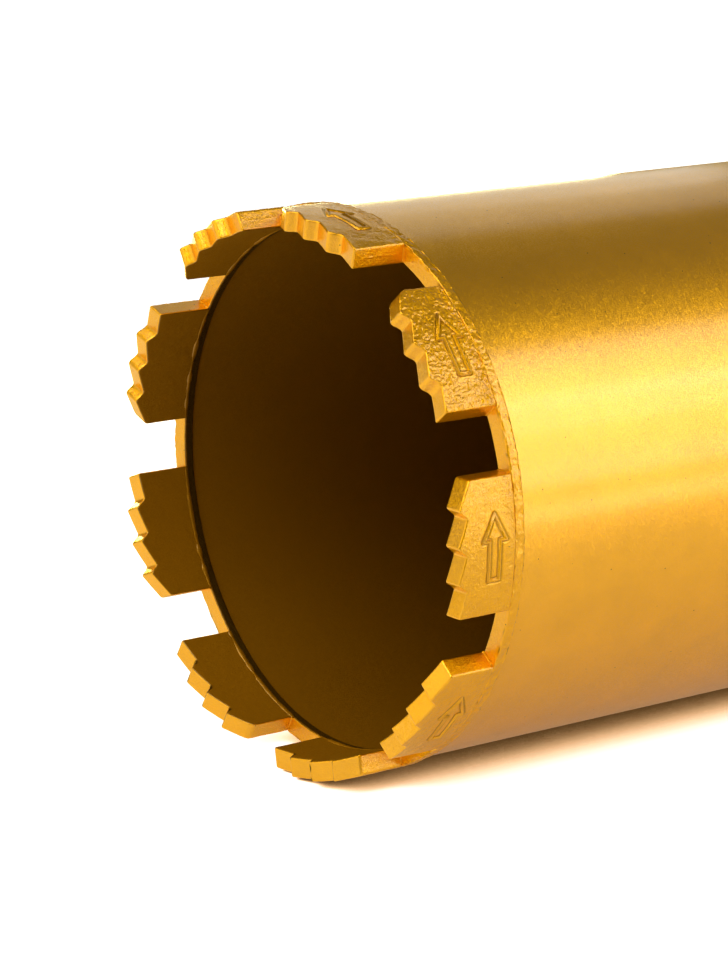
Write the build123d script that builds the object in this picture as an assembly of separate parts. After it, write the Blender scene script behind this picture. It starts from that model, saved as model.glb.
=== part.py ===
"""Diamond core bit, 102 mm, for wet drilling in concrete.

A steel barrel carries a crown of nine sintered diamond segments on a ring at its open
end. The other end is closed by a welded back plate with a threaded hub, which screws on
to the spindle of a core drill. Axis along Z, origin at the middle of the hub's mouth.
"""
from build123d import *
import os
from math import sqrt

# ---- Driving dimensions, mm and degrees ----------------------------------------------
# Diamond segments
cutting_diameter = 102.0      # over the segments
segment_count = 9
segment_length = 23.6         # between the two parallel ends
segment_thickness = 3.9
segment_height = 12.1         # ring face to the crest of the tooth line
segment_proud = 0.3           # beyond the ring's outer face
segment_corner = 0.45         # rounding of the upright edges
tooth_count = 4               # on each segment
tooth_depth = 1.8             # tip to root
tooth_step = 1.4              # run of the steep side of a tooth
crest_radius = 52.0           # the tooth line is arched along the segment
first_segment_angle = -90.0   # segment 1 looks along -Y

# Ring under the segments
ring_wall = 3.4
ring_height = 2.2
ring_proud = 0.7              # beyond the barrel's outer face
ring_bevel = 0.45             # both edges beside the barrel
ring_edge = 0.25              # bevel of both edges beside the segments

# Barrel
barrel_wall = 2.0
barrel_length = 370.0
barrel_bevel = 0.5            # outer edge at the hub end

# Back plate
plate_thickness = 8.0
plate_recess = 3.0            # barrel end to the outer face of the plate
barrel_weld = 2.8             # leg of the fillet weld to the barrel
hub_weld = 3.2                # leg of the fillet weld to the hub
weld_bulge = 0.12             # of a bead's face, as a share of its leg
fit_clearance = 0.05          # each side, plate in barrel and hub in plate

# Hub, 1 1/4 in - 7 UNC
hub_diameter = 50.0
hub_height = 32.0             # mouth to the outer face of the plate
hub_bevel = 1.5
thread_diameter = 31.75
thread_pitch = 25.4 / 7
thread_relief = 0.6           # countersink beyond the thread's full diameter, each side
inner_bevel = 0.6             # of the bore's end inside the barrel
spigot_wall = 3.1             # stub through the plate, outside the thread
wrench_size = 41.0            # across the two flats
wrench_flat_height = 16.0
wrench_flat_start = 9.0       # from the mouth

# ---- Sizes that follow ---------------------------------------------------------------
cutting_radius = cutting_diameter / 2
segment_inner_radius = cutting_radius - segment_thickness
ring_radius = cutting_radius - segment_proud
ring_inner_radius = ring_radius - ring_wall
barrel_radius = ring_radius - ring_proud
bore_radius = barrel_radius - barrel_wall

hub_radius = hub_diameter / 2
thread_radius = thread_diameter / 2
thread_bore_radius = thread_radius - 1.0825 / 2 * thread_pitch   # minor radius of UNC
spigot_radius = thread_radius + spigot_wall

plate_z = hub_height                                             # outer face of the plate
plate_top_z = plate_z + plate_thickness
barrel_z = plate_z - plate_recess
ring_z = barrel_z + barrel_length
segment_z = ring_z + ring_height


def revolved(points):
    """Solid of revolution about Z of a closed outline of (radius, height) points."""
    outline = Polyline(*[(radius, 0, height) for radius, height in points], close=True)
    return revolve(make_face(outline), Axis.Z)


def make_hub():
    """Turned hub: body with a shoulder, spigot, threading bore and two wrench flats."""
    mouth_radius = thread_radius + thread_relief
    countersink_depth = mouth_radius - thread_bore_radius
    body = revolved([
        (mouth_radius, 0),
        (hub_radius - hub_bevel, 0),
        (hub_radius, hub_bevel),
        (hub_radius, plate_z),
        (spigot_radius, plate_z),
        (spigot_radius, plate_top_z),
        (thread_bore_radius + inner_bevel, plate_top_z),
        (thread_bore_radius, plate_top_z - inner_bevel),
        (thread_bore_radius, countersink_depth),
    ])
    slab = Box(
        hub_radius - wrench_size / 2,
        hub_diameter,
        wrench_flat_height,
        align=(Align.MIN, Align.CENTER, Align.MIN),
    )
    for side in (0, 180):
        body -= Rot(0, 0, side) * Pos(wrench_size / 2, 0, wrench_flat_start) * slab
    return body


def weld(corner_radius, leg, outward):
    """Fillet weld in the corner under the plate, its face raised along the middle."""
    middle = leg * (0.5 + weld_bulge)
    return revolved([
        (corner_radius, plate_z),
        (corner_radius + outward * leg, plate_z),
        (corner_radius + outward * middle, plate_z - middle),
        (corner_radius, plate_z - leg),
    ])


def make_back_plate():
    """Disc that closes the barrel, with the two weld beads that are fused to it."""
    rim = bore_radius - fit_clearance
    hole = spigot_radius + fit_clearance
    disc = revolved([
        (hole, plate_z),
        (rim, plate_z),
        (rim, plate_top_z),
        (hole, plate_top_z),
    ])
    return disc + weld(rim, barrel_weld, -1) + weld(hub_radius + fit_clearance, hub_weld, 1)


def make_barrel():
    """Plain drawn tube."""
    return revolved([
        (bore_radius, barrel_z),
        (barrel_radius - barrel_bevel, barrel_z),
        (barrel_radius, barrel_z + barrel_bevel),
        (barrel_radius, ring_z),
        (bore_radius, ring_z),
    ])


def make_crown_ring():
    """Ring welded to the barrel's end, thicker than the barrel's wall on both sides."""
    return revolved([
        (ring_inner_radius + ring_bevel, ring_z),
        (ring_radius - ring_bevel, ring_z),
        (ring_radius, ring_z + ring_bevel),
        (ring_radius, segment_z - ring_edge),
        (ring_radius - ring_edge, segment_z),
        (ring_inner_radius + ring_edge, segment_z),
        (ring_inner_radius, segment_z - ring_edge),
        (ring_inner_radius, ring_z + ring_bevel),
    ])


def crest(along):
    """Height of the arched tooth line at a distance along the segment."""
    return segment_height - (crest_radius - sqrt(crest_radius**2 - along**2))


def make_segment():
    """One segment on +X: a toothed outline cut through a curved bar with parallel ends.

    Each tooth rises gently clockwise, seen from the open end, and steps back at its tip.
    """
    half = segment_length / 2
    tooth_pitch = (segment_length + tooth_step) / tooth_count
    tooth_line = []
    for tooth in range(tooth_count):
        root = -half + tooth * tooth_pitch
        tip = root + tooth_pitch - tooth_step
        tooth_line += [(root, crest(root) - tooth_depth), (tip, crest(tip))]
    points = [(-half, 0)] + tooth_line + [(half, 0)]
    outline = Polyline(*[(0, -along, height) for along, height in points], close=True)
    slab = extrude(make_face(outline), cutting_diameter, dir=(1, 0, 0))
    upright = (Align.CENTER, Align.CENTER, Align.MIN)
    wall = Cylinder(cutting_radius, segment_height, align=upright)
    wall -= Cylinder(segment_inner_radius, segment_height, align=upright)
    bar = (slab & wall).solids()[0]
    return fillet(bar.edges().filter_by(Axis.Z), segment_corner)


def write(node, shape):
    """Write one named sub-part as STEP."""
    shape.label = node
    export_step(shape, f"parts/{node}.step")


os.makedirs("parts", exist_ok=True)
write("hub", make_hub())
write("back_plate", make_back_plate())
write("barrel", make_barrel())
write("crown_ring", make_crown_ring())
segment = make_segment()
for number in range(segment_count):
    turn = first_segment_angle + number * 360 / segment_count
    write(f"segment_{number + 1}", Rot(0, 0, turn) * Pos(0, 0, segment_z) * segment)
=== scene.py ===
"""Looks of a diamond core bit, as an add-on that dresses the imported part.

Every operator makes one group of pieces around the frame. Lengths in this file are in
metres, unless a name or a comment says millimetres.
"""
from math import cos, pi, radians, sin, tan

import bmesh
import bpy
import numpy as np
from mathutils import Matrix, Vector


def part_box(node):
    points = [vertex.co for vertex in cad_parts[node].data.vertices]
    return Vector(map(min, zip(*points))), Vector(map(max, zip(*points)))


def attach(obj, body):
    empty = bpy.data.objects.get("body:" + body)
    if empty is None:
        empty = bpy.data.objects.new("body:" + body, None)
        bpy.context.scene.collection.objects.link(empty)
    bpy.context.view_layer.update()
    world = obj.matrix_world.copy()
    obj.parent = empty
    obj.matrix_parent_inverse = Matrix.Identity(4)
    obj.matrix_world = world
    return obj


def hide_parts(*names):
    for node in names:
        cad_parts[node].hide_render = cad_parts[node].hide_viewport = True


bl_info = {
    "name": "Diamond core bit",
    "version": (1, 0, 0),
    "blender": (4, 5, 0),
    "location": "3D View > Sidebar > Core bit",
    "description": "Dresses the core bit: lacquered barrel, crown of toothed segments, hub",
    "category": "Object",
}

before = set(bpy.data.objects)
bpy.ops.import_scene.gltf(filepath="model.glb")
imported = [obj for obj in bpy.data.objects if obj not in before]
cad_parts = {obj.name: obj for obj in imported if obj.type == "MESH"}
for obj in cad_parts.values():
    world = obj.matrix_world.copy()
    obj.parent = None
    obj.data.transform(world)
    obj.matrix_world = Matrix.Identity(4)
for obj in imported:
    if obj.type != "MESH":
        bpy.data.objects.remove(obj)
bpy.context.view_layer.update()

MM = 0.001
BODY = "root"
SEGMENTS = sorted(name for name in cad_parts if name.startswith("segment_"))
SEGMENT_COUNT = len(SEGMENTS)
# How each segment came out of the press: roughness of its outer face, rounding of its tooth
# tips and of its low end corner in mm, and how dark its steep faces are painted, as painted
# shade at the tooth steps.
SEGMENT_FINISH = (
    (0.8, 0.28, 0.5, 0.0),
    (2.4, 0.50, 1.5, 0.0),
    (0.9, 0.50, 0.6, 0.0),
    (0.7, 0.45, 0.7, 0.0),
    (1.2, 0.40, 0.6, 0.0),
    (0.9, 0.30, 0.4, 0.0),
    (1.1, 0.30, 0.8, 0.9),
    (0.6, 0.25, 0.4, 0.9),
    (0.9, 0.25, 0.3, 0.0),
)
# The raised arrow: width of its line, height of its middle above a segment's foot, how far
# it stands past the cutting radius, and how deep its line is sunk in the face.
MARK_WIDTH = 0.7 * MM
MARK_LEVEL = 4.4 * MM
MARK_PROUD = 0.06 * MM
MARK_SUNK = 0.14 * MM
ARROW_LENGTH, ARROW_HEIGHT = 11.2 * MM, 4.8 * MM
ARROW_HEAD, ARROW_SHAFT = 4.4 * MM, 2.2 * MM
FIRST_ANGLE = radians(-90)                    # segment_1 looks along -Y

# Sizes read from the frame
BARREL_LOW, BARREL_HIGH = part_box("barrel")
RING_LOW, RING_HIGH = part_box("crown_ring")
TOOTH_LOW, TOOTH_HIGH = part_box("segment_1")
PLATE_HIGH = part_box("back_plate")[1]
HUB_LOW, HUB_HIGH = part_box("hub")
BARREL_RADIUS = BARREL_HIGH[0]
RING_RADIUS = RING_HIGH[0]
CUTTING_RADIUS = -TOOTH_LOW[1]
SEGMENT_LENGTH = TOOTH_HIGH[0] - TOOTH_LOW[0]
SEGMENT_FOOT = TOOTH_LOW[2]
HUB_RADIUS = HUB_HIGH[1]

# Sizes that the frame's boxes don't give
BARREL_WALL = 2.0 * MM
RING_WALL = 3.4 * MM
SEGMENT_WALL = 3.9 * MM
PLATE_THICKNESS = 8.0 * MM
FIT_CLEARANCE = 0.05 * MM
BARREL_WELD = 2.8 * MM
HUB_WELD = 3.2 * MM
WRENCH_SIZE = 41.0 * MM
WRENCH_FLAT_START = 9.0 * MM
WRENCH_FLAT_HEIGHT = 16.0 * MM
SPIGOT_WALL = 3.1 * MM
THREAD_RADIUS = 31.75 / 2 * MM
THREAD_PITCH = 25.4 / 7 * MM
THREAD_DEPTH = 1.0825 / 2 * THREAD_PITCH

# Steps of the surfaces, and the seeds of their noises
ARC_POINTS = 6
ARC_NEIGHBOUR = 0.06 * MM                     # from an arc's end to the next point
RING_COUNT, BARREL_COUNT, PLATE_COUNT, HUB_COUNT = 1200, 360, 240, 480
WELD_COUNT, THREAD_COUNT, THREAD_LEVELS, BEAD_COUNT = 720, 144, 16, 12
LUMPS_SEED, RIDGES_SEED, GRIT_SEED, PITS_SEED, STEP_SHADE_SEED = range(11, 16)
WELD_SEED, WELD_GRAIN_SEED, WELD_LUMPS_SEED, SEAM_SEED, FOOT_SEED = range(21, 26)
BRAZE_SEED, BRAZE_GRAIN_SEED = range(31, 33)

# Finish of the lacquer
CLOUD_SIZE, DUST_SPACING = 9 * MM, 3.2 * MM
INSIDE_ROUGHNESS = 0.45
# Dark brown of the lacquer where it is darkened as painted shade
DARKENING_COLOUR = "#241504"
WARM_EDGE = (1, 0.93, 0.35, 1)

# Lamps: name, azimuth and elevation in degrees, distance, size, power in watts and colour
WHITE, COOL, WARM = "#ffffff", "#f2f6ff", "#fff6b8"
LAMPS = (
    ("key_1", -45, -31, 0.43, (0.14, 0.25), 0.25, WHITE),
    ("key_2", -59, -31, 0.43, (0.07, 0.25), 0.15, WHITE),
    ("key_3", -75, -31, 0.43, (0.14, 0.25), 0.22, WHITE),
    ("key_4", -90, -31, 0.43, (0.14, 0.25), 0.07, WHITE),
    ("key_5", -105, -27, 0.42, (0.14, 0.3), 0.45, WARM),
    ("edge_1", 40, -33, 0.43, (0.14, 0.26), 0.062, COOL),
    ("edge_2", 63, -33, 0.43, (0.14, 0.26), 0.085, COOL),
    ("low_back_box", 90, -27, 0.42, (0.14, 0.3), 1.5, WARM),
    ("side_box", -25, 25, 0.6, (0.35, 0.35), 1.5, WARM),
    ("fill_box", 15, 25, 0.6, (0.35, 0.35), 0.95, WARM),
    ("top_box", 0, 50, 0.6, (0.3, 0.3), 0.45, WARM),
    ("behind_box", 112, 10, 0.6, (0.6, 0.45), 0.8, WARM),
    ("left_box", 138, 50, 0.7, (0.6, 0.6), 2.6, WARM),
    ("high_box", 62, 52, 0.7, (0.4, 0.4), 0.5, WARM),
    ("over_box", 0, 80, 0.7, (0.45, 0.45), 0.8, WARM),
)
# Painted shadow: colour of the paper by the share of open sky over it, with the shadow's warm edge
SHADOW_TONES = [
    (0.04, (0.065, 0.034, 0.01, 1)),
    (0.065, (0.15, 0.08, 0.028, 1)),
    (0.088, (0.38, 0.23, 0.1, 1)),
    (0.117, (0.72, 0.46, 0.24, 1)),
    (0.15, (0.98, 0.73, 0.46, 1)),
    (0.18, (1, 0.89, 0.74, 1)),
    (0.21, (1, 1, 1, 1)),
]


# ---- Colours and nodes ----------
def linear(hex_colour):
    """Linear RGBA of an sRGB hex colour, by the sRGB curve."""
    value = np.array([int(hex_colour[i:i + 2], 16) / 255 for i in (1, 3, 5)])
    curve = np.where(value <= 0.04045, value / 12.92, ((value + 0.055) / 1.055) ** 2.4)
    return (*curve, 1.0)


def node(tree, kind, settings=None, **links):
    """Add a shader node. Settings are its attributes and links its inputs, by name."""
    made = tree.nodes.new(kind)
    for name, value in (settings or {}).items():
        setattr(made, name, value)
    for name, value in links.items():
        key = int(name[1:]) if name[1:].isdigit() and name[0] == "i" else name.replace("_", " ")
        if isinstance(value, bpy.types.NodeSocket):
            tree.links.new(value, made.inputs[key])
        else:
            made.inputs[key].default_value = value
    return made


def result(tree, kind, operation, *values):
    """Result of a math node, "Math" or "VectorMath", of these values."""
    links = {"i%d" % number: value for number, value in enumerate(values)}
    made = node(tree, "ShaderNode" + kind, {"operation": operation}, **links)
    return made.outputs["Value" if operation == "DOT_PRODUCT" else 0]


def blend(tree, factor, first, second, kind="MIX"):
    """Mix of two colours."""
    settings = {"data_type": "RGBA", "blend_type": kind}
    return node(tree, "ShaderNodeMix", settings, i0=factor, i6=first, i7=second).outputs[2]


def mapped(tree, value, low, high, settings=None, **links):
    """A value mapped to low to high, from 0 to 1 unless links say another range."""
    links.update(Value=value, To_Min=low, To_Max=high)
    return node(tree, "ShaderNodeMapRange", settings, **links).outputs[0]


def bumped(tree, height, strength, distance):
    """Normal of a bump."""
    return node(
        tree, "ShaderNodeBump", Height=height, Strength=strength, Distance=distance
    ).outputs["Normal"]


def seen_by_camera(tree, others, camera):
    """One shader for camera rays and another for all the others."""
    path = node(tree, "ShaderNodeLightPath").outputs["Is Camera Ray"]
    return node(tree, "ShaderNodeMixShader", Fac=path, i1=others.outputs[0], i2=camera.outputs[0])


def surface(tree, shader, output):
    """Link a shader to the output's surface."""
    tree.links.new(shader.outputs[0], output.inputs["Surface"])


def new_material(name):
    """An empty node material and its output node."""
    material = bpy.data.materials.new(name)
    material.use_nodes = True
    material.node_tree.nodes.clear()
    output = material.node_tree.nodes.new("ShaderNodeOutputMaterial")
    return material, material.node_tree, output


def ramp(tree, factor, stops):
    """Colour ramp from (position, grey or RGBA) stops."""
    made = node(tree, "ShaderNodeValToRGB", Fac=factor)
    elements = made.color_ramp.elements
    while len(elements) < len(stops):
        elements.new(1.0)
    for element, (position, colour) in zip(elements, stops):
        element.position = position
        element.color = colour if isinstance(colour, tuple) else (colour, colour, colour, 1)
    return made.outputs["Color"]


def gold_lacquer(under, grain_mm, grain_depth, painted_inside_share=1.0, coat_share=1.0):
    """Sprayed metallic lacquer on what is under it: gold flakes under a clear coat.

    Each flake is a Voronoi cell that leans its own way, coarse enough to show, so the gold
    lobe sparkles faintly. The clear coat adds a white sheen that grows at grazing angles and
    has a faint orange peel. grain_mm and grain_depth give the texture of what lies under the
    paint, and specks are the dust and pits in it. Overspray alone reaches the inside of the
    crown and barrel, so it is rougher and less metallic there, and its gold is darkened as
    painted shade, painted_inside_share times as light as the setting's.
    On a coarse piece the clear coat soaks in, and coat_share of it is left.
    """
    paint = bpy.context.scene.corebit_paint
    material, tree, output = new_material("gold_lacquer_on_" + under)
    place = node(tree, "ShaderNodeTexCoord").outputs["Object"]
    flakes = node(tree, "ShaderNodeTexVoronoi", Vector=place, Scale=1 / paint.flake)
    peel = node(tree, "ShaderNodeTexNoise", Vector=place, Scale=1 / paint.peel, Detail=1.0)
    scale = 1 / (grain_mm * MM)
    grain = node(tree, "ShaderNodeTexNoise", Vector=place, Scale=scale, Detail=3.0, Roughness=0.6)
    clouds = node(tree, "ShaderNodeTexNoise", Vector=place, Scale=1 / CLOUD_SIZE, Detail=3.0)
    dust = node(tree, "ShaderNodeTexVoronoi", Vector=place, Scale=1 / DUST_SPACING)
    shade = ramp(tree, clouds.outputs["Fac"], [(0.25, 0.9), (0.75, 1.0)])
    speck = ramp(tree, dust.outputs["Distance"], [(0.03, 0.25), (0.05, 1.0)])
    base = blend(tree, 1.0, shade, tuple(paint.gold), "MULTIPLY")
    base = blend(tree, 1.0, base, speck, "MULTIPLY")
    facing = node(tree, "ShaderNodeNewGeometry").outputs["Normal"]
    axis_out = result(tree, "VectorMath", "MULTIPLY", place, (1, 1, 0))
    outward = result(tree, "VectorMath", "DOT_PRODUCT", facing, axis_out)
    # In metres: a face that looks at the axis from further than 30 mm is inside.
    inside = result(tree, "Math", "LESS_THAN", outward, -0.03)
    # Painted shade: faces inside the crown and barrel get a darker gold.
    painted_inside_gold = tuple(painted_inside_share * value for value in paint.shaded_inner_gold[:3]) + (1.0,)
    base = blend(tree, inside, base, painted_inside_gold)
    metallic = mapped(tree, inside, 1.0, paint.inner_metallic)
    rough = mapped(tree, inside, paint.roughness, INSIDE_ROUGHNESS)
    # Painted shade: where the darkening mark is set, the lacquer turns dark brown and loses its coat.
    darkening_amount = node(tree, "ShaderNodeAttribute", {"attribute_name": "darkening"}).outputs["Fac"]
    base = blend(tree, darkening_amount, base, linear(DARKENING_COLOUR))
    coarse = node(tree, "ShaderNodeAttribute", {"attribute_name": "rough"}).outputs["Fac"]
    depth = result(tree, "Math", "MULTIPLY", coarse, grain_depth)
    bump = bumped(tree, grain.outputs["Fac"], depth, 0.25 * MM)
    tilt = paint.flake_tilt
    lean = result(
        tree, "VectorMath", "MULTIPLY_ADD", flakes.outputs["Color"], (2 * tilt,) * 3, (-tilt,) * 3
    )
    leaning = result(tree, "VectorMath", "ADD", bump, lean)
    leaning = result(tree, "VectorMath", "NORMALIZE", leaning)
    shader = node(
        tree,
        "ShaderNodeBsdfPrincipled",
        Base_Color=base,
        Metallic=metallic,
        Roughness=rough,
        Specular_Tint=WARM_EDGE,
        Coat_Weight=mapped(tree, darkening_amount, paint.coat * coat_share, 0.0),
        Coat_Roughness=paint.coat_roughness,
        Coat_IOR=1.6,
        Normal=leaning,
        Coat_Normal=bumped(tree, peel.outputs["Fac"], 0.1 + grain_depth, 0.04 * MM),
    )
    surface(tree, shader, output)
    return material


def turned_steel(name):
    """Turned mild steel of the thread: bare, with fine lines left by the tool."""
    material, tree, output = new_material(name)
    place = node(tree, "ShaderNodeTexCoord").outputs["Object"]
    stretched = node(tree, "ShaderNodeMapping", Vector=place, Scale=(1, 1, 12))
    place, scale = stretched.outputs[0], 1 / (1.5 * MM)
    lines = node(tree, "ShaderNodeTexNoise", Vector=place, Scale=scale, Detail=3.0)
    tint = ramp(tree, lines.outputs["Fac"], [(0.3, linear("#6f6c68")), (0.7, linear("#a9a6a0"))])
    shader = node(
        tree,
        "ShaderNodeBsdfPrincipled",
        Base_Color=tint,
        Metallic=1.0,
        Roughness=0.35,
        Normal=bumped(tree, lines.outputs["Fac"], 0.3, 0.05 * MM),
    )
    surface(tree, shader, output)
    return material


# ---- Shapes ----------
def value_noise(points, cell, seed, period=0):
    """Smooth noise from -1 to 1: random lattice values blended by a smooth step.

    Each point's eight lattice corners get a value from an integer hash, and the three
    fractions, eased as 3t^2 - 2t^3, weigh them. The lattice repeats along its first
    direction after period cells, if one is given.
    """
    scaled = points / cell + (0 if period else 1000.0)
    corner = np.floor(scaled).astype(np.int64)
    part = scaled - corner
    part = part * part * (3 - 2 * part)
    total = np.zeros(points.shape[:-1])
    for step in np.ndindex(2, 2, 2):
        place = corner + np.array(step)
        if period:
            place[..., 0] %= period
        mixed = place[..., 0] * 73856093 ^ place[..., 1] * 19349663 ^ place[..., 2] * 83492791
        mixed = (mixed + seed * 2654435761) & 0x7FFFFFFF
        mixed = (mixed ^ (mixed >> 13)) * 1274126177 & 0x7FFFFFFF
        value = (mixed ^ (mixed >> 16)) / 0x3FFFFFFF - 1
        weight = np.prod(np.where(np.array(step), part, 1 - part), axis=-1)
        total += value * weight
    return total


def grid_normals(points, closed=False):
    """Outward unit normals of a grid, by central differences.

    The grid closes along its second side, and along its first where closed is true. Out is
    the side on which the point that lies furthest along X looks to +X.
    """
    along = np.gradient(points, axis=0)
    if closed:
        along = np.roll(points, -1, axis=0) - np.roll(points, 1, axis=0)
    around = np.roll(points, -1, axis=1) - np.roll(points, 1, axis=1)
    normal = np.cross(around, along)
    normal /= np.maximum(np.linalg.norm(normal, axis=-1, keepdims=True), 1e-12)
    furthest = np.unravel_index(np.argmax(points[..., 0]), points.shape[:2])
    return normal * np.sign(normal[furthest][0])


def grid_faces(rows, columns, close_rows=False):
    """Quads between neighbouring points of a grid, as rows of four indices.

    Its columns always close, and its rows where close_rows is true.
    """
    index = np.arange(rows * columns).reshape(rows, columns)
    if close_rows:
        index = np.vstack([index, index[:1]])
    index = np.hstack([index, index[:, :1]])
    return np.stack(
        [index[:-1, :-1], index[:-1, 1:], index[1:, 1:], index[1:, :-1]], axis=-1
    ).reshape(-1, 4)


def linked(name, data):
    """A new object in the scene."""
    made = bpy.data.objects.new(name, data)
    bpy.context.scene.collection.objects.link(made)
    return made


def new_piece(name, parts, material, stands_for=()):
    """A mesh object from (points, faces, marks) parts, of which marks may be left out.

    Marks name a number for each point: "darkening" is how far the lacquer is darkened, as
    painted shade, and "rough" how strong the material's own texture is. Doubles are merged
    and faces turned out.
    """
    all_points, all_faces, start = [], [], 0
    marks = {"darkening": [], "rough": []}
    for points, faces, *given in parts:
        flat = np.asarray(points, float).reshape(-1, 3)
        all_points.append(flat)
        all_faces.append(faces + start)
        for mark, usual in (("darkening", 0), ("rough", 1)):
            value = given[0].get(mark, usual) if given else usual
            marks[mark].append(np.broadcast_to(value, np.shape(points)[:-1]).ravel())
        start += len(flat)
    mesh = bpy.data.meshes.new(name)
    mesh.from_pydata(np.vstack(all_points), [], np.vstack(all_faces).tolist())
    for mark, values in marks.items():
        mesh.attributes.new(mark, "FLOAT", "POINT").data.foreach_set("value", np.hstack(values))
    shell = bmesh.new()
    shell.from_mesh(mesh)
    bmesh.ops.remove_doubles(shell, verts=shell.verts, dist=1e-7)
    bmesh.ops.recalc_face_normals(shell, faces=shell.faces)
    shell.to_mesh(mesh)
    shell.free()
    mesh.shade_smooth()
    mesh.materials.append(material)
    piece = linked(name, mesh)
    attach(piece, BODY)
    if stands_for:
        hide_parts(*stands_for)
    return piece


def rounded_outline(corners, spacing=None):
    """Closed outline from (x, y, radius) corners, each turned by an arc.

    An arc starts radius * tan(turn / 2) before its corner. Each straight run gets a point
    close to both arcs, so that smooth shading stays flat on it, and more points where
    spacing asks for them.
    """
    corners = np.array(corners, float)
    outline = []
    for i, (x, y, radius) in enumerate(corners):
        here = np.array([x, y])
        back = corners[i - 1, :2] - here
        ahead = corners[(i + 1) % len(corners), :2] - here
        back, ahead = back / np.linalg.norm(back), ahead / np.linalg.norm(ahead)
        if radius <= 0:
            outline.append([here])
            continue
        half_turn = (pi - np.arccos(np.clip(back @ ahead, -1, 1))) / 2
        reach = radius * tan(half_turn)
        middle = (back + ahead) / np.linalg.norm(back + ahead)
        centre = here + middle * radius / cos(half_turn)
        steps = np.linspace(-half_turn, half_turn, ARC_POINTS)
        side = (here + back * reach - centre) / radius
        other = (here + ahead * reach - centre) / radius
        weights = np.sin(half_turn - steps), np.sin(half_turn + steps)
        arc = (np.outer(weights[0], side) + np.outer(weights[1], other)) / sin(2 * half_turn)
        outline.append(centre + arc * radius)
    points = []
    for i, arc in enumerate(outline):
        points.extend(arc)
        start, end = arc[-1], outline[(i + 1) % len(outline)][0]
        length = np.linalg.norm(end - start)
        near = min(ARC_NEIGHBOUR, length / 3)
        shares = [near / length, 1 - near / length]
        if spacing and length > spacing:
            count = int(length / spacing)
            shares += list(np.arange(1, count) / count)
        points.extend(start + (end - start) * share for share in sorted(shares))
    return np.array(points)


def polar(radius, angle, level):
    """Points at a distance from the Z axis, an angle and a height."""
    across = radius * np.cos(angle), radius * np.sin(angle)
    return np.stack(np.broadcast_arrays(*across, level), axis=-1)


def turned(outline, count):
    """A closed outline of (radius, height) carried round the Z axis in count steps."""
    angle = np.linspace(0, 2 * pi, count, endpoint=False)[:, None]
    points = polar(outline[None, :, 0], angle, outline[None, :, 1])
    return points, grid_faces(count, len(outline), close_rows=True)


def seated(points, number):
    """Points of a segment on +X, turned about Z and lifted to its place on the ring."""
    angle = FIRST_ANGLE + number * 2 * pi / SEGMENT_COUNT
    turn = np.array([[cos(angle), -sin(angle), 0], [sin(angle), cos(angle), 0], [0, 0, 1]])
    return points @ turn.T + np.array([0, 0, SEGMENT_FOOT])


def tooth_height(along, crown, rounding):
    """Height of the tooth line at a distance along the segment, clockwise from its middle.

    Straight ramps from root to tip and steep steps back, below an arched crest. The line
    is averaged over a short window, which rounds its tips and roots.
    """
    half = SEGMENT_LENGTH / 2
    pitch = (SEGMENT_LENGTH + crown.tooth_step) / crown.tooth_count
    root = -half + pitch * np.arange(crown.tooth_count)
    tip = root + pitch - crown.tooth_step
    place = np.stack([root, tip], axis=-1).ravel()
    crest = crown.segment_height - (crown.crest_radius - np.sqrt(crown.crest_radius**2 - place**2))
    level = crest - np.tile([crown.tooth_depth, 0], crown.tooth_count)
    window = np.linspace(-1, 1, 9) * rounding
    return np.mean([np.interp(along + shift, place, level) for shift in window], axis=0)


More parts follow.
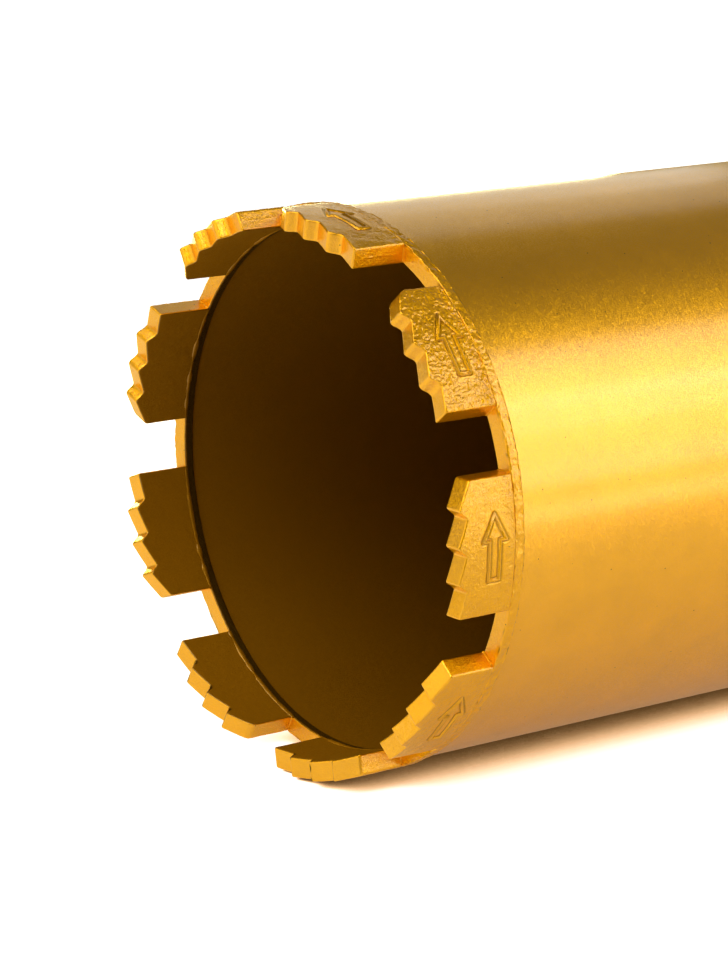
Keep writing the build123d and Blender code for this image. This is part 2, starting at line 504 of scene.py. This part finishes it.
def segment_grid(crown, tip_rounding, end_rounding):
    """Grid of one segment: a rounded upright section carried along it, closed at its ends.

    First side: stations along the segment, and at each end a quarter turn that insets the
    section, then more insets that close the end face. Second side: round the section, up
    the outer face, over the teeth, down the plainer inner face in half as many steps, and
    back under the foot. Gives (along, across, height) and the inset of each point, in the
    segment's own flat frame.
    """
    half, wall, edge = SEGMENT_LENGTH / 2, SEGMENT_WALL / 2, crown.edge_rounding
    turn = np.linspace(0, pi / 2, ARC_POINTS)
    closing = np.linspace(edge, wall, 8)[1:]
    end_along = np.concatenate([np.full(len(closing), half), (half - edge + edge * np.cos(turn))])
    end_inset = np.concatenate([closing[::-1], edge * (1 - np.sin(turn))])
    middle = np.linspace(-half + edge, half - edge, crown.stations)[1:-1]
    along = np.concatenate([-end_along, middle, end_along[::-1]])
    inset = np.concatenate([end_inset, np.zeros(len(middle)), end_inset[::-1]])

    top = tooth_height(np.clip(along, -half + edge, half - edge), crown, tip_rounding) - inset
    near_end = end_rounding - np.clip(half + along, 0, end_rounding)
    top -= end_rounding - np.sqrt(end_rounding**2 - near_end**2)
    width = (wall - inset)[:, None]
    top = top[:, None]
    corner = np.minimum(edge, width * 0.999)
    toe = np.minimum(crown.foot_rounding, width * 0.999)
    arc = np.linspace(0, pi / 2, ARC_POINTS)
    roof_flat = np.linspace(1, -1, 15)[1:-1]
    foot_flat = np.array([0.5, 0, -0.5])

    def side(sign, levels):
        level = toe + np.linspace(0, 1, levels) * (top - corner - toe)
        return np.stack([sign * width + 0 * level, level], axis=-1)

    def bend(sign):
        across = sign * (width - corner + corner * np.cos(arc))
        return np.stack([across, top - corner + corner * np.sin(arc)], axis=-1)

    def tuck(sign):
        across = sign * (width - toe + toe * np.sin(arc))
        return np.stack([across, toe - toe * np.cos(arc)], axis=-1)

    roof = np.stack([(width - corner) * roof_flat, top + 0 * roof_flat], axis=-1)
    foot = np.stack([-(width - toe) * foot_flat, 0 * top * foot_flat], axis=-1)
    section = np.concatenate(
        [
            tuck(1)[:, :-1],
            side(1, crown.levels)[:, :-1],
            bend(1),
            roof,
            bend(-1)[:, ::-1],
            side(-1, crown.levels // 2)[:, -2::-1],
            tuck(-1)[:, -2::-1],
            foot,
        ],
        axis=1,
    )
    along = np.broadcast_to(along[:, None], section.shape[:2])
    return np.concatenate([along[..., None], section], axis=-1), inset


def bend_round(flat, radius):
    """Points (along, across, height) laid on the crown, around a segment that is on +X.

    The distance from the axis is radius + across, and along is measured square to the
    segment's middle, so its ends stay parallel. Clockwise is -Y there.
    """
    along, across, height = np.moveaxis(flat, -1, 0)
    distance = radius + across
    return np.stack([np.sqrt(distance**2 - along**2), -along, height], axis=-1)


def raised_line(path, width, depth):
    """Half-round bead along a closed path of (x, y) points.

    Gives (x, y, rise) grids: across the line the rise is depth * cos of the place,
    and the bead keeps its width round corners by leaving them along the mitre.
    """
    ahead = np.roll(path, -1, axis=0) - path
    ahead /= np.linalg.norm(ahead, axis=1, keepdims=True)
    behind = np.roll(ahead, 1, axis=0)
    normal = np.stack([-(ahead + behind)[:, 1], (ahead + behind)[:, 0]], axis=-1)
    normal /= np.linalg.norm(normal, axis=1, keepdims=True)
    square = np.stack([-ahead[:, 1], ahead[:, 0]], axis=-1)
    mitre = normal / np.maximum(np.sum(normal * square, axis=1), 0.4)[:, None]
    place = np.linspace(-1, 1, 9)
    flat = path[:, None] + mitre[:, None] * place[:, None] * width / 2
    rise = depth * np.cos(place * pi / 2)
    return np.concatenate([flat, np.broadcast_to(rise[:, None], flat.shape[:2] + (1,))], axis=-1)


# ---- Settings that a user would change ----------
class CrownSettings(bpy.types.PropertyGroup):
    """Shape of the segments and of the ring under them."""

    tooth_count: bpy.props.IntProperty(
        name="Teeth", description="Saw teeth on each segment", default=4, min=1
    )
    tooth_depth: bpy.props.FloatProperty(
        name="Tooth depth", description="Tip to root", default=1.8 * MM, unit="LENGTH", precision=5
    )
    tooth_step: bpy.props.FloatProperty(
        name="Tooth step", description="Run of a steep side", default=1.4 * MM, unit="LENGTH"
    )
    segment_height: bpy.props.FloatProperty(
        name="Segment height", description="Ring to crest", default=12.1 * MM, unit="LENGTH"
    )
    crest_radius: bpy.props.FloatProperty(
        name="Crest radius", description="Arch of the tooth line", default=52 * MM, unit="LENGTH"
    )
    edge_rounding: bpy.props.FloatProperty(
        name="Edge rounding", description="Edges of a segment", default=0.34 * MM, unit="LENGTH"
    )
    foot_rounding: bpy.props.FloatProperty(
        name="Foot rounding", description="Lower edges of it", default=0.3 * MM, unit="LENGTH"
    )
    lumps: bpy.props.FloatProperty(
        name="Lumps", description="Height of the sintered texture", default=0.1 * MM, unit="LENGTH"
    )
    mark: bpy.props.FloatProperty(
        name="Mark", description="Height of the raised arrow", default=0.26 * MM, unit="LENGTH"
    )
    bead: bpy.props.FloatProperty(
        name="Bead", description="Radius of the braze at a foot", default=0.36 * MM, unit="LENGTH"
    )
    stations: bpy.props.IntProperty(
        name="Stations", description="Grid lines along a segment", default=180, min=8
    )
    levels: bpy.props.IntProperty(
        name="Levels", description="Grid lines up a face", default=70, min=4
    )


class PaintSettings(bpy.types.PropertyGroup):
    """The gold lacquer."""

    gold: bpy.props.FloatVectorProperty(
        name="Gold",
        description="Colour of the flakes",
        subtype="COLOR",
        size=4,
        default=linear("#fcb505"),
    )
    # Painted shade: the darker gold of the inside of the crown and barrel.
    shaded_inner_gold: bpy.props.FloatVectorProperty(
        name="Inner gold",
        description="Colour of the overspray inside",
        subtype="COLOR",
        size=4,
        default=linear("#a46e06"),
    )
    inner_metallic: bpy.props.FloatProperty(
        name="Inner metallic", description="Metallic share of it", default=0.4, min=0, max=1
    )
    flake: bpy.props.FloatProperty(
        name="Flake", description="Width of a flake", default=0.16 * MM, unit="LENGTH"
    )
    flake_tilt: bpy.props.FloatProperty(
        name="Flake tilt", description="How far the flakes lean", default=0.13, min=0, max=1
    )
    peel: bpy.props.FloatProperty(
        name="Peel", description="Width of the orange peel", default=1.4 * MM, unit="LENGTH"
    )
    roughness: bpy.props.FloatProperty(
        name="Roughness", description="Roughness of the gold", default=0.4, min=0, max=1
    )
    coat: bpy.props.FloatProperty(
        name="Coat", description="Weight of the clear coat", default=1.0, min=0, max=1
    )
    coat_roughness: bpy.props.FloatProperty(
        name="Coat roughness", description="Roughness of the clear coat", default=0.2, min=0, max=1
    )


class StageSettings(bpy.types.PropertyGroup):
    """Floor, backdrop card and lamps."""

    floor: bpy.props.FloatVectorProperty(
        name="Floor", description="Colour of the floor and the card", size=4, subtype="COLOR",
        default=linear("#f4f2ef"),
    )
    ambient: bpy.props.FloatProperty(
        name="Ambient", description="Strength of the light from all round", default=0.02
    )
    glow: bpy.props.FloatProperty(
        name="Glow", description="Light that the paper gives off", default=0.15
    )
    lift: bpy.props.FloatProperty(
        name="Lift", description="How much lighter the camera sees the paper", default=0.5
    )
    shine: bpy.props.FloatProperty(
        name="Shine", description="Even light the camera sees on the paper", default=1.0
    )
    power: bpy.props.FloatProperty(
        name="Power", description="Strength of all the lamps together", default=1.0
    )


# ---- Pieces ----------
class COREBIT_OT_segments(bpy.types.Operator):
    """Make the nine toothed segments, each with its raised arrow"""

    bl_idname = "corebit.segments"
    bl_label = "Segments"

    def execute(self, context):
        crown = context.scene.corebit_crown
        paint = gold_lacquer("sintered_metal", 0.32, 0.7, coat_share=0.75)
        line, line_faces = self.mark(crown)
        for number, name in enumerate(SEGMENTS):
            points, faces, marks = self.body(crown, number)
            parts = [(seated(points, number), faces, marks), (seated(line, number), line_faces)]
            new_piece(name + "_sintered", parts, paint, [name])
        return {"FINISHED"}

    def body(self, crown, number):
        """A segment's surface, with the relief of its faces and how far each point is darkened as
        painted shade.

        The relief is a sum of noises along the normal: broad lumps, grains with a sharp crease
        where one noise crosses zero, grit and pits. It is strongest on the outer face and at
        its foot, and the end faces are coarse like a broken edge.
        """
        rough, tip_rounding, end_rounding, bare = SEGMENT_FINISH[number]
        flat, inset = segment_grid(crown, tip_rounding * MM, end_rounding * MM)
        wall = SEGMENT_WALL / 2
        # The outer face stands back a little, for the arrow to reach the full diameter.
        flat[..., 1] -= (crown.mark - MARK_PROUD) / 2 * (flat[..., 1] / wall + 1)
        smooth = bend_round(flat, CUTTING_RADIUS - wall)
        normal = grid_normals(smooth)
        outward = np.sum(normal[..., :2] * smooth[..., :2], axis=-1) / CUTTING_RADIUS
        strength = 0.3 + 0.7 * np.clip(outward, 0, 1) ** 2
        strength *= 1 - 0.6 * np.clip(normal[..., 2], 0, 1)
        strength += 0.8 * np.clip(1 - flat[..., 2] / (2.5 * MM), 0, 1) * np.clip(outward, 0, 1)
        strength *= np.clip(flat[..., 2] / (0.5 * MM), 0, 1)
        strength[inset >= wall - 1e-9] = 0

        seeded = flat + np.array([number * 0.31, number * 0.17, 0])
        lumps = value_noise(seeded, 1.5 * MM, LUMPS_SEED)
        ridges = 2.6 * np.abs(value_noise(seeded, 0.55 * MM, RIDGES_SEED)) - 1
        grit = value_noise(seeded, 0.32 * MM, GRIT_SEED)
        pits = np.minimum(value_noise(seeded, 0.9 * MM, PITS_SEED) + 0.5, 0)
        rise = 0.5 * lumps * max(rough, 1) + rough * (0.24 * ridges + 0.26 * grit) + 0.9 * pits
        distance = self.from_arrow(flat)
        outer = (flat[..., 1] > 0) & (outward > 0.9)
        strength *= np.where(outer, np.clip(distance / (1.6 * MM), 0.4, 1), 1)
        rise = crown.lumps * (rise - 0.3) * strength
        rise -= np.where(outer, self.groove(crown, distance), 0)
        points = smooth + normal * rise[..., None]

        pitch = (SEGMENT_LENGTH + crown.tooth_step) / crown.tooth_count
        steps = pitch * np.arange(1, crown.tooth_count + 1)
        steps -= (SEGMENT_LENGTH + crown.tooth_step) / 2
        from_step = np.abs(flat[..., :1] - steps).min(axis=-1) / (crown.tooth_step / 2)
        below = tooth_height(flat[..., 0], crown, tip_rounding * MM) - flat[..., 2]
        # Painted shade: on segments whose last finish number is set, the steep faces at the tooth steps
        # are darkened in crescents broken up by noise.
        step_shade = 1.3 - from_step - below / (0.9 * MM)
        step_shade += 0.7 * value_noise(seeded, 1.2 * MM, STEP_SHADE_SEED)
        coarse = (0.6 + 0.15 * rough) * strength
        coarse += np.clip(rough - 0.5, 0, 0.5) * np.clip(np.abs(normal[..., 1]), 0, 1) ** 4
        # Painted shade darkens the hollow beside the arrow's line.
        painted_groove_shade = np.where(outer, self.groove(crown, distance) / crown.mark, 0)
        marks = {"darkening": np.maximum(bare * np.clip(3 * step_shade, 0, 1), painted_groove_shade), "rough": coarse}
        return points, grid_faces(*flat.shape[:2]), marks

    def mark(self, crown):
        """Raised outline of an arrow on the outer face, pointing the way the bit turns."""
        depth = crown.mark + MARK_SUNK
        bead = raised_line(self.arrow(), MARK_WIDTH, depth)
        out = bead[..., 2] - depth + MARK_PROUD
        bead = np.stack([bead[..., 0], out, bead[..., 1] + MARK_LEVEL], axis=-1)
        return bend_round(bead, CUTTING_RADIUS), grid_faces(*bead.shape[:2], close_rows=True)

    def arrow(self):
        """Outline of a block arrow that points to negative x, middle at the origin."""
        tip, tail = -ARROW_LENGTH / 2, ARROW_LENGTH / 2
        neck, side, shaft = tip + ARROW_HEAD, ARROW_HEIGHT / 2, ARROW_SHAFT / 2
        head = [(neck, shaft), (neck, side)]
        return np.array([(tip, 0), (neck, -side), (neck, -shaft), (tail, -shaft), (tail, shaft)] + head)

    def from_arrow(self, flat):
        """Distance of each point of the outer face from the middle of the arrow's line."""
        place = np.stack([flat[..., 0], flat[..., 2] - MARK_LEVEL], axis=-1)
        start = self.arrow()
        run = np.roll(start, -1, axis=0) - start
        along = np.einsum("...ij,ij->...i", place[..., None, :] - start, run)
        along /= np.sum(run**2, axis=1)
        nearest = start + np.clip(along, 0, 1)[..., None] * run
        return np.linalg.norm(place[..., None, :] - nearest, axis=-1).min(axis=-1)

    def groove(self, crown, distance):
        """Depth of the hollow that the die left on both sides of the arrow's line.

        It is a dip of half a cosine at a fixed distance from the line.
        """
        dip = np.clip(np.abs(distance - MARK_WIDTH * 0.62) / (0.28 * MM), 0, 1)
        return 0.5 * crown.mark * (0.5 + 0.5 * np.cos(pi * dip))


class COREBIT_OT_braze(bpy.types.Operator):
    """Make the beads of braze round the segments' feet"""

    bl_idname = "corebit.braze"
    bl_label = "Braze"

    def execute(self, context):
        crown = context.scene.corebit_crown
        paint = gold_lacquer("braze", 0.5, 0.4, coat_share=0.6)
        half, wall = SEGMENT_LENGTH / 2, SEGMENT_WALL / 2
        inward, outward = -wall + 0.22 * MM, wall - 0.75 * MM
        corners = (-half, inward), (half, inward), (half, outward), (-half, outward)
        path = rounded_outline([(*corner, 0.3 * MM) for corner in corners], 0.25 * MM)
        away = np.roll(path, -1, axis=0) - np.roll(path, 1, axis=0)
        away = np.stack([away[:, 1], -away[:, 0]], axis=-1)
        away /= np.linalg.norm(away, axis=1, keepdims=True)
        turn = np.linspace(0, 2 * pi, BEAD_COUNT, endpoint=False)
        parts = []
        for number in range(SEGMENT_COUNT):
            seeded = np.column_stack([path + number * 0.21, np.zeros(len(path))])
            swell = 1 + 0.35 * value_noise(seeded, 1.7 * MM, BRAZE_SEED)
            swell += 0.1 * value_noise(seeded, 0.6 * MM, BRAZE_GRAIN_SEED)
            swell *= np.interp(path[:, 1], [inward + 0.1 * MM, inward + 1.0 * MM], [0.9, 0.65])
            swell *= np.interp(np.abs(path[:, 0]), [half - 0.6 * MM, half], [1.0, 0.6])
            radius = crown.bead * swell
            side = path[:, None] + away[:, None] * (radius[:, None] * np.cos(turn))[..., None]
            level = radius[:, None] * np.sin(turn) * 1.6
            bead = np.concatenate([side, level[..., None]], axis=-1)
            bead = bend_round(bead, CUTTING_RADIUS - wall)
            parts.append((seated(bead, number), grid_faces(*bead.shape[:2], close_rows=True)))
        new_piece("braze_beads", parts, paint)
        return {"FINISHED"}


class COREBIT_OT_crown_ring(bpy.types.Operator):
    """Make the ring under the segments, rough with weld metal under the lacquer"""

    bl_idname = "corebit.crown_ring"
    bl_label = "Crown ring"

    def execute(self, context):
        paint = gold_lacquer("weld", 0.4, 0.6, coat_share=0.75)
        inner = RING_RADIUS - RING_WALL
        low, high = RING_LOW[2], RING_HIGH[2]
        outline = rounded_outline([
            (inner + 0.45 * MM, low, 0),
            (RING_RADIUS - 0.3 * MM, low, 0),
            (RING_RADIUS, low + 0.3 * MM, 0.25 * MM),
            (RING_RADIUS, high, 0.3 * MM),
            (inner, high, 0.3 * MM),
            (inner, low + 0.45 * MM, 0.4 * MM),
        ], 0.25 * MM)
        points, faces = turned(outline, RING_COUNT)
        normal = grid_normals(points, closed=True)
        radius, level = np.hypot(points[..., 0], points[..., 1]), points[..., 2]
        # The weld's ripple: 320 cells round, 1 mm long and 0.45 mm wide.
        cells = 320
        run = np.arctan2(points[..., 1], points[..., 0]) % (2 * pi) / (2 * pi)
        ripple = np.stack([run * cells, radius / (0.45 * MM), level / (0.45 * MM)], axis=-1)
        relief = 1 - 2.4 * np.abs(value_noise(ripple, 1.0, WELD_SEED, cells))
        relief += 0.6 * value_noise(points, 0.45 * MM, WELD_GRAIN_SEED)
        relief += 0.8 * value_noise(points, 2.2 * MM, WELD_LUMPS_SEED)
        outside = np.clip((radius - RING_RADIUS + 0.8 * MM) / (0.6 * MM), 0, 1)
        strength = (0.02 + 0.08 * outside) * MM
        strength = np.where(level < low + 0.02 * MM, 0, strength)     # flat where the tube sits
        points = points + normal * ((relief - 0.7) * strength)[..., None]
        # Painted shade: the inner face is darkened, and dark specks of painted shade run along the
        # outer seam and along the top edge under the segments' feet.
        painted_ring_shade = 0.9 * np.clip((inner + 0.3 * MM - radius) / (0.15 * MM), 0, 1)
        painted_ring_shade *= np.clip((high - 0.2 * MM - level) / (0.3 * MM), 0, 1)
        seam = (low + 0.1 * MM - level) / (0.3 * MM)
        seam += 1.6 * value_noise(ripple, 1.0, SEAM_SEED, cells)
        foot = (level - high + 0.25 * MM) / (0.25 * MM) - 0.9
        foot += 1.8 * value_noise(ripple, 1.0, FOOT_SEED, cells)
        painted_ring_shade = np.maximum(painted_ring_shade, outside * np.clip(np.maximum(seam, foot), 0, 1) * 0.6)
        parts = [(points, faces, {"darkening": painted_ring_shade})]
        new_piece("crown_ring_welded", parts, paint, ["crown_ring"])
        return {"FINISHED"}


class COREBIT_OT_barrel(bpy.types.Operator):
    """Make the drawn steel tube"""

    bl_idname = "corebit.barrel"
    bl_label = "Barrel"

    def execute(self, context):
        # The bore's gold is darkened further, as painted shade.
        paint = gold_lacquer("tube", 2.0, 0.02, painted_inside_share=0.8)
        bore = BARREL_RADIUS - BARREL_WALL
        low, high = BARREL_LOW[2], BARREL_HIGH[2]
        outline = rounded_outline([
            (bore, low, 0.2 * MM),
            (BARREL_RADIUS, low, 0.5 * MM),
            (BARREL_RADIUS, high, 0.1 * MM),
            (bore, high, 0.1 * MM),
        ], 20 * MM)
        new_piece("barrel_tube", [turned(outline, BARREL_COUNT)], paint, ["barrel"])
        return {"FINISHED"}


class COREBIT_OT_back_plate(bpy.types.Operator):
    """Make the back plate with its two rippled weld beads"""

    bl_idname = "corebit.back_plate"
    bl_label = "Back plate"

    def execute(self, context):
        paint = gold_lacquer("plate", 1.5, 0.15)
        rim = BARREL_RADIUS - BARREL_WALL - FIT_CLEARANCE
        hole = THREAD_RADIUS + SPIGOT_WALL + FIT_CLEARANCE
        top = PLATE_HIGH[2]
        under = top - PLATE_THICKNESS
        disc = rounded_outline([
            (hole, under, 0.1 * MM),
            (rim, under, 0.1 * MM),
            (rim, top, 0.4 * MM),
            (hole, top, 0.2 * MM),
        ], 4 * MM)
        barrel_weld = self.bead(rim, BARREL_WELD, -1, under)
        hub_weld = self.bead(HUB_RADIUS + FIT_CLEARANCE, HUB_WELD, 1, under)
        parts = [turned(disc, PLATE_COUNT), barrel_weld, hub_weld]
        new_piece("back_plate_disc", parts, paint, ["back_plate"])
        return {"FINISHED"}

    def bead(self, corner, leg, outward, under):
        """Fillet weld laid in overlapping drops, so its face is scalloped along its run."""
        drop = 2.2 * MM
        drops = int(2 * pi * corner / drop)
        angle = np.linspace(0, 2 * pi, WELD_COUNT, endpoint=False)
        phase = (angle * drops / (2 * pi)) % 1.0
        place = np.linspace(0, 1, 9)
        bulge = np.sin(place * pi)
        ripple = 0.08 * (np.cos(2 * pi * (phase[:, None] - 0.35 * bulge)) - 1)
        reach = leg * (1 + bulge * (0.13 + ripple))
        across = corner + outward * reach * np.sin(place * pi / 2) * (1 - 0.32 * bulge)
        level = under - reach * np.cos(place * pi / 2) * (1 - 0.32 * bulge)
        angle = angle[:, None]
        points = np.concatenate([polar(across, angle, level), polar(corner, angle, under)], axis=1)
        return points, grid_faces(*points.shape[:2], close_rows=True)


class COREBIT_OT_hub(bpy.types.Operator):
    """Make the turned hub with its wrench flats, and its screw thread"""

    bl_idname = "corebit.hub"
    bl_label = "Hub"

    def execute(self, context):
        paint = gold_lacquer("hub", 1.2, 0.1)
        spigot = THREAD_RADIUS + SPIGOT_WALL
        mouth = THREAD_RADIUS + 0.6 * MM
        relief = THREAD_RADIUS + 0.12 * MM
        low, high = HUB_LOW[2], HUB_HIGH[2]
        shoulder = high - PLATE_THICKNESS
        start, end = WRENCH_FLAT_START, WRENCH_FLAT_START + WRENCH_FLAT_HEIGHT
        outline = rounded_outline([
            (mouth, low, 0.15 * MM),
            (HUB_RADIUS - 1.5 * MM, low, 0.3 * MM),
            (HUB_RADIUS, low + 1.5 * MM, 0.3 * MM),
            (HUB_RADIUS, start, 0),
            (HUB_RADIUS, end, 0),
            (HUB_RADIUS, shoulder, 0.1 * MM),
            (spigot, shoulder, 0.1 * MM),
            (spigot, high, 0.2 * MM),
            (relief, high, 0.15 * MM),
            (relief, low + 0.48 * MM, 0.1 * MM),
        ], 2 * MM)
        points, faces = turned(outline, HUB_COUNT)
        level = points[..., 2]
        angle = np.arctan2(points[..., 1], points[..., 0])
        radius = np.hypot(points[..., 0], points[..., 1])
        flat_radius = WRENCH_SIZE / 2 / np.maximum(np.abs(np.cos(angle)), 0.1)
        slack = 0.01 * MM
        milled = (level > start + slack) & (level < end - slack) & (radius > HUB_RADIUS - slack)
        radius = np.where(milled, np.minimum(radius, flat_radius), radius)
        points = polar(radius, angle, level)
        new_piece("hub_turned", [(points, faces)], paint, ["hub"])
        self.thread(low + 0.6 * MM, high - 0.3 * MM)
        return {"FINISHED"}

    def thread(self, low, high):
        """Internal thread: a 60 degree profile that climbs one pitch in each turn.

        The wall's radius is a clipped triangle wave of height / pitch - angle / full turn,
        and the sleeve is closed behind it inside the hub's wall.
        """
        around = np.linspace(0, 2 * pi, THREAD_COUNT, endpoint=False)[:, None]
        level = np.arange(low, high, THREAD_PITCH / THREAD_LEVELS)[None, :]
        phase = (level / THREAD_PITCH - around / (2 * pi)) % 1.0
        wave = np.clip(np.abs(phase - 0.5) * 2 * 1.45 - 0.2, 0, 1)
        radius = THREAD_RADIUS - THREAD_DEPTH * wave
        behind = np.full((THREAD_COUNT, 2), THREAD_RADIUS + 0.5 * MM)
        radius = np.hstack([radius, behind])
        points = polar(radius, around, np.hstack([level, level[:, [-1, 0]]]))
        faces = grid_faces(*points.shape[:2], close_rows=True)
        new_piece("hub_thread", [(points, faces)], turned_steel("turned_mild_steel"))


# ---- Stage ----------
class COREBIT_OT_stage(bpy.types.Operator):
    """Make the floor, the backdrop card, the lamps, the world and the camera"""

    bl_idname = "corebit.stage"
    bl_label = "Stage"

    def execute(self, context):
        scene = context.scene
        stage = scene.corebit_stage
        crown_middle = Vector((0, 0, RING_HIGH[2]))
        paper = self.paper("matt_white_paper", stage, 0.6, stage.glow)
        cloth = self.paper("matt_pale_floor", stage, 0.25, 0.0)
        self.sheet("floor", [(-4, -4, 0), (4, -4, 0), (4, 4, 0), (-4, 4, 0)], cloth)
        wall = -CUTTING_RADIUS - 0.2 * MM     # the card stands just clear of the part
        self.sheet("card", [(wall, -1, 0), (wall, 4, 0), (wall, 4, 1.5), (wall, -1, 1.5)], paper)
        for name, *given in LAMPS:
            self.lamp(stage, crown_middle, name, *given)
        self.world(scene, stage)
        self.camera(scene, crown_middle)
        return {"FINISHED"}

    def sheet(self, name, corners, material):
        """A flat four-cornered sheet of the stage."""
        mesh = bpy.data.meshes.new(name)
        mesh.from_pydata(corners, [], [(0, 1, 2, 3)])
        mesh.materials.append(material)
        linked(name, mesh)

    def paper(self, name, stage, bounce, glow):
        """Matt white paper that the camera sees bright, with the part's shadow on it, deepened by a
        painted shadow.

        Other rays see it as a grey of brightness bounce, and its glow is painted light. For the
        camera it is stage.lift times white, and the painted shadow falls to a warm dark brown in
        the close gaps under the part.
        """
        material, tree, output = new_material(name)
        path = node(tree, "ShaderNodeLightPath")
        facing = node(tree, "ShaderNodeNewGeometry")
        matt = node(tree, "ShaderNodeBsdfDiffuse", Color=(bounce, bounce, bounce, 1))
        place = node(tree, "ShaderNodeTexCoord").outputs["Object"]
        level = node(tree, "ShaderNodeSeparateXYZ", Vector=place).outputs["Z"]
        # Painted light: the sheet glows, three times as bright beyond the crown; its dimmer glow
        # beside the barrel is painted shade, where the barrel keeps light off it.
        smooth = {"interpolation_type": "SMOOTHSTEP"}
        start, end = SEGMENT_FOOT - 5 * MM, SEGMENT_FOOT + 20 * MM
        painted_glow = mapped(tree, level, glow, glow * 3, smooth, From_Min=start, From_Max=end)
        light = node(tree, "ShaderNodeEmission", Color=tuple(stage.floor), Strength=painted_glow)
        matt = node(tree, "ShaderNodeAddShader", i0=matt.outputs[0], i1=light.outputs[0])
        # Painted shadow: for the camera, the paper darkens to warm brown where little open sky is over
        # it.
        open_sky = node(tree, "ShaderNodeAmbientOcclusion", {"samples": 64}, Distance=40 * MM)
        painted_shadow = ramp(tree, open_sky.outputs["AO"], SHADOW_TONES)
        scale = {"operation": "SCALE"}
        lifted = node(tree, "ShaderNodeVectorMath", scale, i0=painted_shadow, Scale=stage.lift)
        bright = node(tree, "ShaderNodeBsdfDiffuse", Color=lifted.outputs[0])
        shine = node(tree, "ShaderNodeEmission", Color=painted_shadow, Strength=stage.shine)
        bright = node(tree, "ShaderNodeAddShader", i0=bright.outputs[0], i1=shine.outputs[0])
        seen = seen_by_camera(tree, matt, bright)
        away = result(
            tree, "Math", "MAXIMUM", facing.outputs["Backfacing"], path.outputs["Is Shadow Ray"]
        )
        clear = node(tree, "ShaderNodeBsdfTransparent")
        whole = node(tree, "ShaderNodeMixShader", Fac=away, i1=seen.outputs[0], i2=clear.outputs[0])
        surface(tree, whole, output)
        return material

    def lamp(self, stage, aim, name, azimuth, elevation, distance, size, power, colour):
        """A rectangular softbox that faces a point, from an azimuth and elevation in degrees."""
        data = bpy.data.lights.new(name, "AREA")
        data.shape = "RECTANGLE"
        data.size, data.size_y = size
        data.energy = power * stage.power
        data.color = linear(colour)[:3]
        turn, rise = radians(azimuth), radians(elevation)
        away = Vector((cos(turn) * cos(rise), sin(turn) * cos(rise), sin(rise)))
        made = linked(name, data)
        made.location = aim + away * distance
        made.rotation_euler = away.to_track_quat("Z", "Y").to_euler()
        made.visible_camera = False

    def world(self, scene, stage):
        """Grey light from all round, which the camera sees as white."""
        world = bpy.data.worlds.new("studio")
        world.use_nodes = True
        tree = world.node_tree
        tree.nodes.clear()
        dim = node(tree, "ShaderNodeBackground", Color=(1, 1, 1, 1), Strength=stage.ambient)
        white = node(tree, "ShaderNodeBackground", Color=(1, 1, 1, 1), Strength=1.0)
        mixed = seen_by_camera(tree, dim, white)
        surface(tree, mixed, node(tree, "ShaderNodeOutputWorld"))
        scene.world = world

    def camera(self, scene, crown_middle):
        """A long lens, turned on its side: the barrel lies across the picture."""
        roll = radians(99.55)
        aim = crown_middle + Vector((0.53, -3.11, -4.33)) * MM
        away = Vector((139.34, -479.36, 354.49)) * MM + crown_middle - aim
        data = bpy.data.cameras.new("camera")
        data.lens = 128.0
        data.sensor_width = 36.0
        made = linked("camera", data)
        level = (-away).to_track_quat("-Z", "Y").to_matrix().to_4x4()
        made.matrix_world = Matrix.Translation(aim + away) @ level @ Matrix.Rotation(-roll, 4, "Z")
        scene.camera = made
        scene.view_settings.view_transform = "Standard"


class COREBIT_PT_panel(bpy.types.Panel):
    """Buttons that make the core bit's pieces and stage"""

    bl_idname = "COREBIT_PT_panel"
    bl_label = "Core bit"
    bl_space_type = "VIEW_3D"
    bl_region_type = "UI"
    bl_category = "Core bit"

    def draw(self, context):
        for operator in OPERATORS:
            self.layout.operator(operator.bl_idname)


OPERATORS = (
    COREBIT_OT_barrel,
    COREBIT_OT_crown_ring,
    COREBIT_OT_segments,
    COREBIT_OT_braze,
    COREBIT_OT_back_plate,
    COREBIT_OT_hub,
    COREBIT_OT_stage,
)
SETTINGS = {
    "corebit_crown": CrownSettings,
    "corebit_paint": PaintSettings,
    "corebit_stage": StageSettings,
}


def register():
    for group in SETTINGS.values():
        bpy.utils.register_class(group)
    for name, group in SETTINGS.items():
        setattr(bpy.types.Scene, name, bpy.props.PointerProperty(type=group))
    for made in (*OPERATORS, COREBIT_PT_panel):
        bpy.utils.register_class(made)


def unregister():
    for made in (COREBIT_PT_panel, *reversed(OPERATORS)):
        bpy.utils.unregister_class(made)
    for name, group in SETTINGS.items():
        delattr(bpy.types.Scene, name)
        bpy.utils.unregister_class(group)


def main():
    """Register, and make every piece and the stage."""
    register()
    for operator in OPERATORS:
        group, name = operator.bl_idname.split(".")
        getattr(getattr(bpy.ops, group), name)()


if __name__ == "__main__":
    main()
